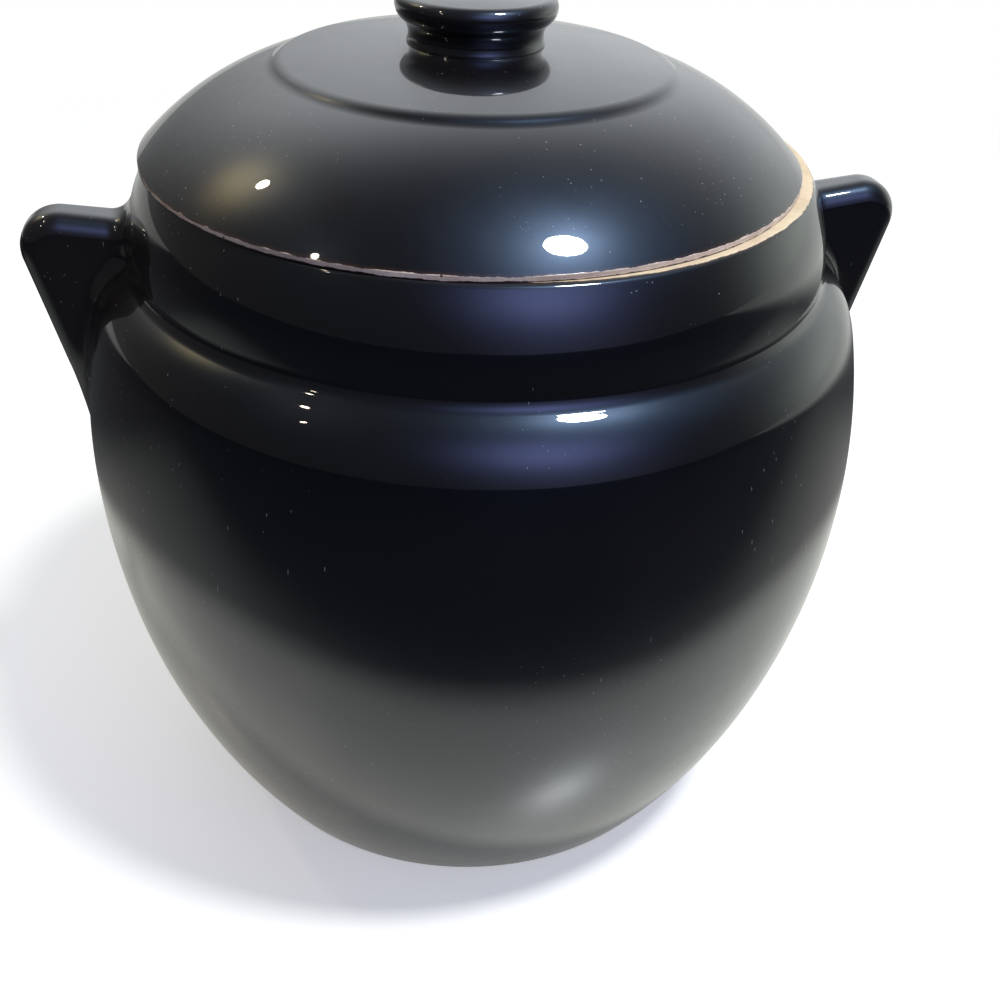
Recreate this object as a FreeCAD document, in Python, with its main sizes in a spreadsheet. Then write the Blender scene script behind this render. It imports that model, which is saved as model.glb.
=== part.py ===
"""Stoneware bean pot: a bellied crock with two ear handles, and a loose domed lid with a knob.

Frame: millimetres, +Z up, origin at the centre of the standing ring, ears along X.
Every size below is a cell of the document's sheet, and every sketch and feature is bound to those cells.
"""

import FreeCAD, Part

import math
import os
from collections import namedtuple
from types import SimpleNamespace

import Sketcher
from FreeCAD import Placement, Rotation, Vector

# name, size (millimetres, or degrees where the name ends in angle), what it measures
DIMENSIONS = (
    ("belly_radius", 101.8, "widest radius of the crock"),
    ("belly_height", 107.0, "height of the widest place"),
    ("lower_sweep", 200.0, "radius of the side's curve below the belly"),
    ("upper_sweep", 150.0, "radius of the side's curve above the belly"),
    ("heel_height", 4.0, "top of the bevel round the foot"),
    ("foot_bevel", 3.2, "how far that bevel goes in"),
    ("foot_ring_width", 7.0, "width of the standing ring's bare face"),
    ("foot_lean", 2.0, "how far the ring's inner side leans"),
    ("foot_recess", 2.5, "height of the underside above the table"),
    ("shoulder_rise", 39.0, "from the widest place up to where the shoulder turns in"),
    ("shoulder_round", 21.0, "radius of the shoulder"),
    ("crease_round", 4.4, "radius of the crease between shoulder and neck"),
    ("neck_step", 15.5, "how much less the neck band's fullest radius is than the belly's"),
    ("neck_lift", 16.6, "from the turn of the shoulder up to the neck's fullest place"),
    ("neck_rise", 19.9, "from the neck's fullest place up to the rim"),
    ("neck_tuck", 16.0, "radius of the neck's curve below its fullest place"),
    ("neck_sweep", 34.5, "radius of the neck's curve up to the rim"),
    ("neck_wall", 11.8, "thickness of the neck at its fullest place"),
    ("rim_round", 1.6, "rounding of the rim's outer edge"),
    ("lip_round", 1.6, "rounding of the rim's inner edge"),
    ("throat_round", 9.0, "radius where the mouth opens into the belly"),
    ("wall", 8.0, "thickness of the crock's side"),
    ("floor_thickness", 9.0, "thickness of the crock's floor"),
    ("floor_round", 16.0, "radius between floor and side, inside"),
    ("ear_overhang", 9.8, "how far an ear stands out past the belly"),
    ("ear_drop", 21.3, "from the rim down to the left ear's outermost point"),
    ("right_ear_lift", 2.4, "how much higher the right ear is luted on"),
    ("ear_tip_round", 9.5, "radius of the ear's tip, seen from the front"),
    ("ear_top_angle", 8.0, "fall of the ear's top towards the neck"),
    ("ear_side_angle", 12.9, "lean of the ear's outer edge from upright"),
    ("ear_thickness", 12.5, "thickness of the ear at its reach"),
    ("ear_draft_angle", 2.0, "spread of each side of the ear towards its root"),
    ("ear_edge_round", 5.0, "rounding of the ear's edges"),
    ("lid_rest", 5.2, "how far the lid reaches over the rim, all round"),
    ("lid_edge", 1.2, "height of the lid's bare upright edge"),
    ("dome_sweep", 71.0, "radius of the lid's outer slope"),
    ("dome_height", 23.0, "top of that slope's curve above the rim"),
    ("lid_wall", 7.0, "thickness of the lid's slope"),
    ("ridge_inset", 34.7, "from the lid's outside in to the edge of its raised middle"),
    ("ridge_step", 0.9, "height of that edge above the slope's curve"),
    ("ridge_round", 5.0, "radius of that edge"),
    ("ridge_foot_round", 6.0, "radius of the hollow at its foot"),
    ("crown_rise", 2.5, "height of the knob's seat above the top of the slope's curve"),
    ("flange_wall", 6.0, "thickness of the lid's locating flange"),
    ("flange_depth", 9.0, "reach of the flange into the mouth"),
    ("flange_edge_round", 2.0, "rounding of the flange's lower edges"),
    ("flange_root_round", 4.0, "radius between flange and slope, inside"),
    ("lid_play", 2.6, "radial clearance of the flange in the mouth"),
    ("lid_gap", 0.3, "clearance left on the side to which the lid has slid"),
    ("lid_slide_angle", 160.0, "direction in which the lid has slid, from +X"),
    ("knob_foot_radius", 16.3, "radius of the bead round the knob's foot"),
    ("knob_seat_margin", 0.6, "flat of the seat that shows round the knob"),
    ("knob_bead_round", 1.4, "rounding of that bead"),
    ("knob_waist_round", 4.0, "radius of the groove between bead and cap"),
    ("knob_cap_radius", 19.0, "widest radius of the knob"),
    ("knob_cap_height", 8.4, "height of the widest place above the seat"),
    ("knob_under_round", 4.0, "radius of the cap's underside"),
    ("knob_edge_round", 2.4, "rounding of the cap's upper edge"),
    ("knob_rise", 3.6, "from the widest place up to the top of the knob"),
)

# name, formula of the sizes above, what it measures
DERIVED = (
    ("shoulder_height", "belly_height + shoulder_rise", "where the shoulder starts to turn in"),
    ("neck_height", "shoulder_height + neck_lift", "height of the neck band's fullest place"),
    ("rim_height", "neck_height + neck_rise", "height of the flat rim"),
    ("neck_radius", "belly_radius - neck_step", "fullest radius of the neck band"),
    ("mouth_radius", "neck_radius - neck_wall", "bore of the mouth"),
    ("floor_height", "foot_recess + floor_thickness", "height of the floor inside"),
    ("ear_reach", "belly_radius + ear_overhang", "radius of an ear's outermost point"),
    ("left_ear_height", "rim_height - ear_drop", "height of the left ear's outermost point"),
    ("right_ear_height", "left_ear_height + right_ear_lift", "and of the right ear's"),
    ("ear_root", "neck_radius - wall", "where the ear's slab starts, within the crock"),
    ("ear_edge_end", "belly_radius - wall / 2", "where its outer edge ends, within the wall"),
    ("lid_radius", "mouth_radius + lid_rest", "outside of the lid"),
    ("ridge_radius", "lid_radius - ridge_inset", "where the lid's raised middle ends"),
    ("flange_outside", "mouth_radius - lid_play", "outside of the flange"),
    ("flange_inside", "flange_outside - flange_wall", "inside of the flange"),
    ("knob_seat_radius", "knob_foot_radius + knob_seat_margin", "outside of the knob's seat"),
    ("knob_seat_height", "dome_height + crown_rise", "height of the knob's seat above the rim"),
    ("knob_height", "knob_cap_height + knob_rise", "height of the knob above its seat"),
)

# each size and derived size, read from the sheet
SIZE = SimpleNamespace()
# each ear's turn round the pot, and the size that holds the height of its outermost point
EAR_TURNS = {"ear_handle_left": 180.0, "ear_handle_right": 0.0}
EAR_HEIGHTS = {"ear_handle_left": "left_ear_height", "ear_handle_right": "right_ear_height"}
PARTS_FOLDER = "parts"
GEOMETRY_MARGIN = 0.01

# the numbers by which a sketch knows a piece's points, 1 to 3, and its two axes, -1 and -2
FIRST, SECOND, CENTRE = range(1, 4)
X_AXIS, Y_AXIS = range(-1, -3, -1)

Piece = namedtuple("Piece", "index start end")


def make_document():
    """A document whose sheet, called dims, holds one named cell for each size."""
    doc = FreeCAD.newDocument("bean_pot")
    sheet = doc.addObject("Spreadsheet::Sheet", "dims")
    driving = [(name, str(value), meaning) for name, value, meaning in DIMENSIONS]
    derived = [(name, f"={formula}", meaning) for name, formula, meaning in DERIVED]
    for row, (name, content, meaning) in enumerate(driving + derived, start=1):
        sheet.set(f"A{row}", meaning)
        sheet.set(f"B{row}", content)
        sheet.setAlias(f"B{row}", name)
    doc.recompute()
    for name, _, _ in driving + derived:
        setattr(SIZE, name, float(sheet.get(name)))
    return doc


def origin_feature(body, role):
    return next(item for item in body.Origin.OriginFeatures if item.Role == role)


# ---- plane geometry: the places where the outlines' arcs meet ----


def toward(start, goal, distance):
    """The point at that distance from start, on the line to goal."""
    return start + (goal - start).normalize() * distance


def on_circle(centre, radius, height):
    """The circle's right-hand point at that height."""
    return Vector(centre.x + math.sqrt(radius**2 - (height - centre.y) ** 2), height)


def over_circle(centre, radius, distance):
    """The circle's upper point at that distance from the upright axis."""
    return Vector(distance, centre.y + math.sqrt(radius**2 - (distance - centre.x) ** 2))


def meeting(low, low_radius, high, high_radius):
    """Where two circles meet, on the right of the line from low to high."""
    span = high - low
    along = (span.Length**2 + low_radius**2 - high_radius**2) / (2 * span.Length)
    aside = math.sqrt(low_radius**2 - along**2)
    unit = span.normalize()
    return low + unit * along + Vector(unit.y, -unit.x) * aside


def centre_on_axis(first, second):
    """The point of the upright axis that is as far from one point as from the other."""
    rise = first.y - second.y
    return Vector(0, (first.x**2 - second.x**2) / (2 * rise) + (first.y + second.y) / 2)


class Outline:
    """A sketch outline drawn piece after piece, each from where the last one ended.

    A piece joins the last one at a corner, or smoothly, by a tangent constraint.
    """

    def __init__(self, body, name, plane="XZ_Plane"):
        self.sketch = body.newObject("Sketcher::SketchObject", name)
        self.sketch.AttachmentSupport = [(origin_feature(body, plane), "")]
        self.sketch.MapMode = "FlatFace"
        self.pieces = []
        self.pen = None

    def begin(self, x, y):
        self.pen = Vector(x, y)

    def line_to(self, end, smooth=False):
        index = self.sketch.addGeometry(Part.LineSegment(self.pen, end))
        return self._add(Piece(index, FIRST, SECOND), end, smooth)

    def arc_to(self, end, centre, smooth=True):
        """An arc of less than half a turn round centre."""
        to_start, to_end = self.pen - centre, end - centre
        middle = centre + (to_start + to_end).normalize() * to_start.Length
        anticlockwise = to_start.cross(to_end).z > 0
        ends = (self.pen, end) if anticlockwise else (end, self.pen)
        index = self.sketch.addGeometry(Part.Arc(ends[0], middle, ends[1]))
        piece = Piece(index, FIRST, SECOND) if anticlockwise else Piece(index, SECOND, FIRST)
        return self._add(piece, end, smooth)

    def close(self):
        """Joins the last piece to the first one, at a corner."""
        self._join(self.pieces[-1], self.pieces[0], smooth=False)

    def _add(self, piece, end, smooth):
        if self.pieces:
            self._join(self.pieces[-1], piece, smooth)
        self.pieces.append(piece)
        self.pen = end
        return piece

    def _join(self, before, after, smooth):
        kind = "Tangent" if smooth else "Coincident"
        self._constrain(kind, before.index, before.end, after.index, after.start)

    def _constrain(self, *terms):
        return self.sketch.addConstraint(Sketcher.Constraint(*terms))

    def _bind(self, formula, *terms):
        """A dimension that follows a formula of the sheet's cells."""
        number = self._constrain(*terms)
        self.sketch.setExpression(f"Constraints[{number}]", formula)

    def across(self, piece, vertex, formula):
        """Holds a point's distance from the outline's upright axis."""
        place = self.sketch.getPoint(piece.index, vertex).x
        self._bind(formula, "DistanceX", -1, 1, piece.index, vertex, place)

    def up(self, piece, vertex, formula):
        """Holds a point's height above the outline's level axis."""
        place = self.sketch.getPoint(piece.index, vertex).y
        self._bind(formula, "DistanceY", -1, 1, piece.index, vertex, place)

    def depth(self, piece, vertex, formula):
        """Holds a point's depth below the outline's level axis."""
        place = -self.sketch.getPoint(piece.index, vertex).y
        self._bind(formula, "DistanceY", piece.index, vertex, -1, 1, place)

    def width(self, line, formula):
        """Holds how far apart a line's ends are along the level axis."""
        ends = [self.sketch.getPoint(line.index, vertex).x for vertex in (line.start, line.end)]
        first, last = (line.start, line.end) if ends[0] < ends[1] else (line.end, line.start)
        terms = (line.index, first, line.index, last, max(ends) - min(ends))
        self._bind(formula, "DistanceX", *terms)

    def radius(self, piece, formula):
        self._bind(formula, "Radius", piece.index, self.sketch.Geometry[piece.index].Radius)

    def lean(self, piece, angle, formula):
        """Holds the angle, in degrees, from the level axis to a line, along its own direction."""
        self._bind(formula, "Angle", piece.index, math.radians(angle))

    def stand_over(self, arc, piece, vertex, foot, formula):
        """Holds a point's height straight above an arc's circle, by a construction line."""
        place = self.sketch.getPoint(piece.index, vertex)
        index = self.sketch.addGeometry(Part.LineSegment(foot, place), True)
        self._constrain("PointOnObject", index, FIRST, arc.index)
        self._constrain("Coincident", index, SECOND, piece.index, vertex)
        self._constrain("Vertical", index)
        self._bind(formula, "DistanceY", index, FIRST, index, SECOND, place.y - foot.y)

    def on_axis(self, piece, vertex, axis):
        self._constrain("PointOnObject", piece.index, vertex, axis)

    def level(self, piece):
        self._constrain("Horizontal", piece.index)

    def upright(self, piece):
        self._constrain("Vertical", piece.index)

    def same_centre(self, piece, other):
        self._constrain("Coincident", piece.index, CENTRE, other.index, CENTRE)


def turn_outline(body, outline, kind, name):
    """Turns an outline once round the Z axis, to add it or, as a groove, to cut it away."""
    feature = body.newObject(kind, name)
    feature.Profile = outline.sketch
    feature.ReferenceAxis = (origin_feature(body, "Z_Axis"), [""])
    feature.Angle = 360.0
    body.Tip = feature
    return feature


# ---- crock ----


def draw_crock_side(outline):
    """The crock's outside, from the standing ring up to the flat of the rim.

    The side is two long arcs that meet upright at the belly. A shoulder arc and a tight crease
    join them to the neck band, whose two arcs meet upright at its fullest place.
    Returns the outer corner of the foot and the centre of the shoulder arc.
    """
    lower = Vector(SIZE.belly_radius - SIZE.lower_sweep, SIZE.belly_height)
    upper = Vector(SIZE.belly_radius - SIZE.upper_sweep, SIZE.belly_height)
    heel = on_circle(lower, SIZE.lower_sweep, SIZE.heel_height)
    belly = Vector(SIZE.belly_radius, SIZE.belly_height)
    shoulder_start = on_circle(upper, SIZE.upper_sweep, SIZE.shoulder_height)
    shoulder = toward(shoulder_start, upper, SIZE.shoulder_round)
    tuck = Vector(SIZE.neck_radius - SIZE.neck_tuck, SIZE.neck_height)
    neck = Vector(SIZE.neck_radius - SIZE.neck_sweep, SIZE.neck_height)
    fullest = Vector(SIZE.neck_radius, SIZE.neck_height)
    shoulder_reach = SIZE.shoulder_round + SIZE.crease_round
    crease = meeting(shoulder, shoulder_reach, tuck, SIZE.neck_tuck + SIZE.crease_round)
    edge = on_circle(neck, SIZE.neck_sweep - SIZE.rim_round, SIZE.rim_height - SIZE.rim_round)

    outline.begin(heel.x - SIZE.foot_bevel, 0)
    bevel = outline.line_to(heel)
    below = outline.arc_to(belly, lower, smooth=False)
    above = outline.arc_to(shoulder_start, upper)
    turn = outline.arc_to(toward(shoulder, crease, SIZE.shoulder_round), shoulder)
    hollow = outline.arc_to(toward(tuck, crease, SIZE.neck_tuck), crease)
    band_foot = outline.arc_to(fullest, tuck)
    band = outline.arc_to(toward(neck, edge, SIZE.neck_sweep), neck)
    rim_edge = outline.arc_to(Vector(edge.x, SIZE.rim_height), edge)

    outline.width(bevel, "dims.foot_bevel")
    outline.on_axis(bevel, bevel.start, X_AXIS)
    outline.up(below, below.start, "dims.heel_height")
    outline.across(below, below.end, "dims.belly_radius")
    outline.up(below, below.end, "dims.belly_height")
    outline.up(below, CENTRE, "dims.belly_height")
    outline.radius(below, "dims.lower_sweep")
    outline.radius(above, "dims.upper_sweep")
    outline.up(above, above.end, "dims.shoulder_height")
    outline.radius(turn, "dims.shoulder_round")
    outline.radius(hollow, "dims.crease_round")
    outline.radius(band_foot, "dims.neck_tuck")
    outline.across(band, band.start, "dims.neck_radius")
    outline.up(band, band.start, "dims.neck_height")
    outline.up(band, CENTRE, "dims.neck_height")
    outline.radius(band, "dims.neck_sweep")
    outline.radius(rim_edge, "dims.rim_round")
    return Vector(heel.x - SIZE.foot_bevel, 0), shoulder


def draw_crock_inside(outline, foot, shoulder):
    """The rim, the inside and the underside, back to the start of the crock's outside.

    The inside follows the outside, one wall in from it.
    """
    mouth = SIZE.mouth_radius
    throat_x = mouth + SIZE.throat_round
    throat_reach = SIZE.shoulder_round - SIZE.wall + SIZE.throat_round
    throat = over_circle(shoulder, throat_reach, throat_x)
    lower = Vector(SIZE.belly_radius - SIZE.lower_sweep, SIZE.belly_height)
    upper = Vector(SIZE.belly_radius - SIZE.upper_sweep, SIZE.belly_height)
    upper_inside = SIZE.upper_sweep - SIZE.wall
    lower_inside = SIZE.lower_sweep - SIZE.wall
    bowl_height = SIZE.floor_height + SIZE.floor_round
    bowl_centre = on_circle(lower, lower_inside - SIZE.floor_round, bowl_height)
    ring_inside = foot.x - SIZE.foot_ring_width

    rim = outline.line_to(Vector(mouth + SIZE.lip_round, SIZE.rim_height), smooth=True)
    lip_centre = Vector(mouth + SIZE.lip_round, SIZE.rim_height - SIZE.lip_round)
    lip = outline.arc_to(Vector(mouth, lip_centre.y), lip_centre)
    bore = outline.line_to(Vector(mouth, throat.y), smooth=True)
    opening = outline.arc_to(toward(throat, shoulder, SIZE.throat_round), throat)
    turn = outline.arc_to(toward(upper, shoulder, upper_inside), shoulder)
    above = outline.arc_to(Vector(SIZE.belly_radius - SIZE.wall, SIZE.belly_height), upper)
    below = outline.arc_to(toward(lower, bowl_centre, lower_inside), lower)
    bowl = outline.arc_to(Vector(bowl_centre.x, SIZE.floor_height), bowl_centre)
    floor = outline.line_to(Vector(0, SIZE.floor_height), smooth=True)
    middle = outline.line_to(Vector(0, SIZE.foot_recess))
    under = outline.line_to(Vector(ring_inside - SIZE.foot_lean, SIZE.foot_recess))
    ring_side = outline.line_to(Vector(ring_inside, 0))
    ring = outline.line_to(foot)
    outline.close()

    outline.level(rim)
    outline.up(rim, rim.start, "dims.rim_height")
    outline.radius(lip, "dims.lip_round")
    outline.upright(bore)
    outline.across(bore, bore.start, "dims.mouth_radius")
    outline.radius(opening, "dims.throat_round")
    outline.radius(turn, "dims.shoulder_round - dims.wall")
    outline.radius(above, "dims.upper_sweep - dims.wall")
    outline.up(
        above,
        above.start,
        "dims.belly_height + dims.shoulder_rise * (1 - dims.wall / dims.upper_sweep)",
    )
    outline.across(below, below.start, "dims.belly_radius - dims.wall")
    outline.up(below, below.start, "dims.belly_height")
    outline.up(below, CENTRE, "dims.belly_height")
    outline.radius(below, "dims.lower_sweep - dims.wall")
    outline.radius(bowl, "dims.floor_round")
    outline.level(floor)
    outline.up(floor, floor.end, "dims.floor_height")
    outline.on_axis(floor, floor.end, Y_AXIS)
    outline.on_axis(middle, middle.end, Y_AXIS)
    outline.up(middle, middle.end, "dims.foot_recess")
    outline.level(under)
    outline.width(ring_side, "dims.foot_lean")
    outline.width(ring, "dims.foot_ring_width")
    outline.level(ring)


def make_crock(doc):
    body = doc.addObject("PartDesign::Body", "crock_body")
    outline = Outline(body, "crock_outline")
    foot, shoulder = draw_crock_side(outline)
    draw_crock_inside(outline, foot, shoulder)
    turn_outline(body, outline, "PartDesign::Revolution", "crock_turned")
    return body


# ---- ears ----


def draw_ear(outline, height_name):
    """The ear seen from the front: a slab that starts within the crock and ends in a round tip."""
    top_slope = math.radians(SIZE.ear_top_angle)
    side_slope = math.radians(SIZE.ear_side_angle)
    tip = Vector(SIZE.ear_reach - SIZE.ear_tip_round, getattr(SIZE, height_name))
    tip_top = tip + Vector(-math.sin(top_slope), math.cos(top_slope)) * SIZE.ear_tip_round
    tip_side = tip + Vector(math.cos(side_slope), -math.sin(side_slope)) * SIZE.ear_tip_round
    upper = Vector(SIZE.ear_root, tip_top.y - (tip_top.x - SIZE.ear_root) * math.tan(top_slope))
    edge_length = (tip_side.x - SIZE.ear_edge_end) / math.sin(side_slope)
    lower = Vector(SIZE.ear_edge_end, tip_side.y - edge_length * math.cos(side_slope))

    outline.begin(upper.x, upper.y)
    top = outline.line_to(tip_top)
    bend = outline.arc_to(tip_side, tip)
    side = outline.line_to(lower, smooth=True)
    foot = outline.line_to(Vector(SIZE.ear_root, lower.y))
    back = outline.line_to(upper)
    outline.close()

    outline.radius(bend, "dims.ear_tip_round")
    outline.across(bend, CENTRE, "dims.ear_reach - dims.ear_tip_round")
    outline.up(bend, CENTRE, f"dims.{height_name}")
    outline.lean(top, SIZE.ear_top_angle, "dims.ear_top_angle")
    outline.lean(side, -90 - SIZE.ear_side_angle, "-90 - dims.ear_side_angle")
    outline.across(side, side.end, "dims.ear_edge_end")
    outline.level(foot)
    outline.across(foot, foot.end, "dims.ear_root")
    outline.upright(back)


def make_ear(doc, name, turn):
    """An ear along +X, drafted, rounded, trimmed to the crock's outside and turned to its side."""
    body = doc.addObject("PartDesign::Body", name)
    outline = Outline(body, f"{name}_outline")
    draw_ear(outline, EAR_HEIGHTS[name])

    slab = body.newObject("PartDesign::Pad", f"{name}_slab")
    slab.Profile = outline.sketch
    slab.SideType = "Symmetric"
    slab.setExpression("Length", "dims.ear_thickness")
    doc.recompute()

    reach_plane = body.newObject("PartDesign::Plane", f"{name}_reach")
    reach_plane.AttachmentSupport = [(origin_feature(body, "YZ_Plane"), "")]
    reach_plane.MapMode = "FlatFace"
    reach_plane.setExpression("AttachmentOffset.Base.z", "dims.ear_reach")
    drafted = body.newObject("PartDesign::Draft", f"{name}_drafted")
    drafted.Base = (slab, side_faces(slab.Shape))
    drafted.NeutralPlane = (reach_plane, [""])
    drafted.setExpression("Angle", "dims.ear_draft_angle")
    doc.recompute()

    rounded = body.newObject("PartDesign::Fillet", f"{name}_rounded")
    rounded.Base = (drafted, rim_edges(drafted.Shape))
    rounded.setExpression("Radius", "dims.ear_edge_round")
    doc.recompute()

    crock_side = Outline(body, f"{name}_crock_side")
    foot, _ = draw_crock_side(crock_side)
    top = crock_side.line_to(Vector(0, SIZE.rim_height), smooth=True)
    axis = crock_side.line_to(Vector(0, 0))
    crock_side.line_to(foot)
    crock_side.close()
    crock_side.level(top)
    crock_side.up(top, top.end, "dims.rim_height")
    crock_side.on_axis(top, top.end, Y_AXIS)
    crock_side.on_axis(axis, axis.end, Y_AXIS)
    crock_side.on_axis(axis, axis.end, X_AXIS)
    trimmed = turn_outline(body, crock_side, "PartDesign::Groove", f"{name}_trimmed")
    doc.recompute()
    check_cut(rounded, trimmed)
    body.Placement = Placement(Vector(), Rotation(Vector(0, 0, 1), turn))
    return body


def side_faces(shape):
    """The two flat faces of the slab that look along Y."""
    flats = (number for number, face in enumerate(shape.Faces, start=1) if looks_along_y(face))
    return [f"Face{number}" for number in flats]


def looks_along_y(face):
    return abs(face.normalAt(0, 0).y) > 0.9


def rim_edges(shape):
    """The edges of the ear's two side faces, along its top, its tip and its outer edge."""
    root = SIZE.ear_root + GEOMETRY_MARGIN
    low = shape.BoundBox.ZMin + GEOMETRY_MARGIN
    names = []
    for number, edge in enumerate(shape.Edges, start=1):
        middle = edge.CenterOfMass
        on_side = abs(middle.y) > SIZE.ear_thickness / 4
        if on_side and middle.x > root and middle.z > low:
            names.append(f"Edge{number}")
    return names


# ---- lid and knob ----


def lid_drift():
    """How far the loose lid has slid off the pot's axis, in the plane of the rim."""
    turn = math.radians(SIZE.lid_slide_angle)
    return Vector(math.cos(turn), math.sin(turn)) * (SIZE.lid_play - SIZE.lid_gap)


def make_lid(doc):
    """The lid, with z = 0 at the rim it rests on."""
    dome_y = SIZE.dome_height - SIZE.dome_sweep
    dome_run = math.sqrt(SIZE.dome_sweep**2 - (SIZE.lid_edge - dome_y) ** 2)
    dome = Vector(SIZE.lid_radius - dome_run, dome_y)
    step_foot = over_circle(dome, SIZE.dome_sweep, SIZE.ridge_radius)
    crown_end = step_foot + Vector(0, SIZE.ridge_step)
    seat_edge = Vector(SIZE.knob_seat_radius, SIZE.knob_seat_height)
    crown = centre_on_axis(seat_edge, crown_end)
    ridge = toward(crown_end, crown, SIZE.ridge_round)
    ridge_reach = SIZE.ridge_round + SIZE.ridge_foot_round
    hollow = meeting(dome, SIZE.dome_sweep + SIZE.ridge_foot_round, ridge, ridge_reach)
    inner_sweep = SIZE.dome_sweep - SIZE.lid_wall
    flange_out = SIZE.flange_outside
    flange_in = SIZE.flange_inside
    root_x = flange_in - SIZE.flange_root_round
    root = over_circle(dome, inner_sweep - SIZE.flange_root_round, root_x)
    bottom = -SIZE.flange_depth
    edge_round = SIZE.flange_edge_round

    body = doc.addObject("PartDesign::Body", "lid_dome")
    outline = Outline(body, "lid_outline")
    outline.begin(SIZE.lid_radius, 0)
    edge = outline.line_to(Vector(SIZE.lid_radius, SIZE.lid_edge))
    slope = outline.arc_to(toward(dome, hollow, SIZE.dome_sweep), dome, smooth=False)
    foot = outline.arc_to(toward(ridge, hollow, SIZE.ridge_round), hollow)
    bend = outline.arc_to(crown_end, ridge)
    top = outline.arc_to(seat_edge, crown)
    seat = outline.line_to(Vector(0, SIZE.knob_seat_height))
    axis = outline.line_to(Vector(0, dome.y + inner_sweep))
    ceiling = outline.line_to(Vector(dome.x, dome.y + inner_sweep))
    under = outline.arc_to(toward(dome, root, inner_sweep), dome)
    corner = outline.arc_to(Vector(flange_in, root.y), root)
    inside = outline.line_to(Vector(flange_in, bottom + edge_round), smooth=True)
    inner_round = outline.arc_to(
        Vector(flange_in + edge_round, bottom), Vector(flange_in + edge_round, bottom + edge_round)
    )
    lowest = outline.line_to(Vector(flange_out - edge_round, bottom), smooth=True)
    outer_round = outline.arc_to(
        Vector(flange_out, bottom + edge_round), Vector(flange_out - edge_round, bottom + edge_round)
    )
    outside = outline.line_to(Vector(flange_out, 0), smooth=True)
    rest = outline.line_to(Vector(SIZE.lid_radius, 0))
    outline.close()

    outline.upright(edge)
    outline.on_axis(edge, edge.start, X_AXIS)
    outline.across(edge, edge.start, "dims.lid_radius")
    outline.up(edge, edge.end, "dims.lid_edge")
    outline.depth(slope, CENTRE, "dims.dome_sweep - dims.dome_height")
    outline.radius(slope, "dims.dome_sweep")
    outline.radius(foot, "dims.ridge_foot_round")
    outline.radius(bend, "dims.ridge_round")
    outline.across(top, top.start, "dims.ridge_radius")
    outline.stand_over(slope, top, top.start, step_foot, "dims.ridge_step")
    outline.across(top, top.end, "dims.knob_seat_radius")
    outline.on_axis(top, CENTRE, Y_AXIS)
    outline.level(seat)
    outline.up(seat, seat.end, "dims.knob_seat_height")
    outline.on_axis(seat, seat.end, Y_AXIS)
    outline.upright(axis)
    outline.level(ceiling)
    outline.same_centre(under, slope)
    outline.radius(under, "dims.dome_sweep - dims.lid_wall")
    outline.radius(corner, "dims.flange_root_round")
    outline.upright(inside)
    outline.across(inside, inside.start, "dims.flange_inside")
    outline.radius(inner_round, "dims.flange_edge_round")
    outline.level(lowest)
    outline.depth(lowest, lowest.start, "dims.flange_depth")
    outline.radius(outer_round, "dims.flange_edge_round")
    outline.upright(outside)
    outline.across(outside, outside.end, "dims.flange_outside")
    outline.level(rest)
    turn_outline(body, outline, "PartDesign::Revolution", "lid_turned")
    body.Placement = Placement(lid_drift() + Vector(0, 0, SIZE.rim_height), Rotation())
    return body


def make_knob(doc):
    """The knob, with z = 0 at its seat: a bead, a waist and a low wide cap."""
    bead = Vector(SIZE.knob_foot_radius - SIZE.knob_bead_round, 0)
    under = Vector(SIZE.knob_cap_radius - SIZE.knob_under_round, SIZE.knob_cap_height)
    bead_reach = SIZE.knob_bead_round + SIZE.knob_waist_round
    waist = meeting(bead, bead_reach, under, SIZE.knob_under_round + SIZE.knob_waist_round)
    rim = Vector(SIZE.knob_cap_radius - SIZE.knob_edge_round, SIZE.knob_cap_height)
    widest = Vector(SIZE.knob_cap_radius, SIZE.knob_cap_height)
    # the crown's arc is centred on the axis and touches the edge's circle from outside
    rise = SIZE.knob_rise
    sweep = (rim.x**2 + rise**2 - SIZE.knob_edge_round**2) / (2 * (rise - SIZE.knob_edge_round))
    crown = Vector(0, SIZE.knob_height - sweep)

    body = doc.addObject("PartDesign::Body", "lid_knob")
    outline = Outline(body, "knob_outline")
    outline.begin(0, 0)
    foot = outline.line_to(Vector(SIZE.knob_foot_radius, 0))
    lower = outline.arc_to(toward(bead, waist, SIZE.knob_bead_round), bead, smooth=False)
    groove = outline.arc_to(toward(under, waist, SIZE.knob_under_round), waist)
    flare = outline.arc_to(widest, under)
    edge = outline.arc_to(crown + (rim - crown).normalize() * sweep, rim)
    top = outline.arc_to(Vector(0, SIZE.knob_height), crown)
    outline.line_to(Vector(0, 0))
    outline.close()

    outline.across(foot, foot.end, "dims.knob_foot_radius")
    outline.level(foot)
    outline.on_axis(foot, foot.start, Y_AXIS)
    outline.on_axis(foot, foot.start, X_AXIS)
    outline.radius(lower, "dims.knob_bead_round")
    outline.on_axis(lower, CENTRE, X_AXIS)
    outline.radius(groove, "dims.knob_waist_round")
    outline.radius(flare, "dims.knob_under_round")
    outline.across(flare, flare.end, "dims.knob_cap_radius")
    outline.up(flare, flare.end, "dims.knob_cap_height")
    outline.up(flare, CENTRE, "dims.knob_cap_height")
    outline.radius(edge, "dims.knob_edge_round")
    outline.up(top, top.end, "dims.knob_height")
    outline.on_axis(top, CENTRE, Y_AXIS)
    outline.on_axis(top, top.end, Y_AXIS)
    turn_outline(body, outline, "PartDesign::Revolution", "knob_turned")
    seat = SIZE.rim_height + SIZE.knob_seat_height
    body.Placement = Placement(lid_drift() + Vector(0, 0, seat), Rotation())
    return body


# ---- checks and files ----


def check_cut(before, after):
    """Stops the build where a cut has taken nothing away."""
    if after.Shape.Volume > before.Shape.Volume - GEOMETRY_MARGIN:
        raise RuntimeError(f"{after.Name} cut nothing")


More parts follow.
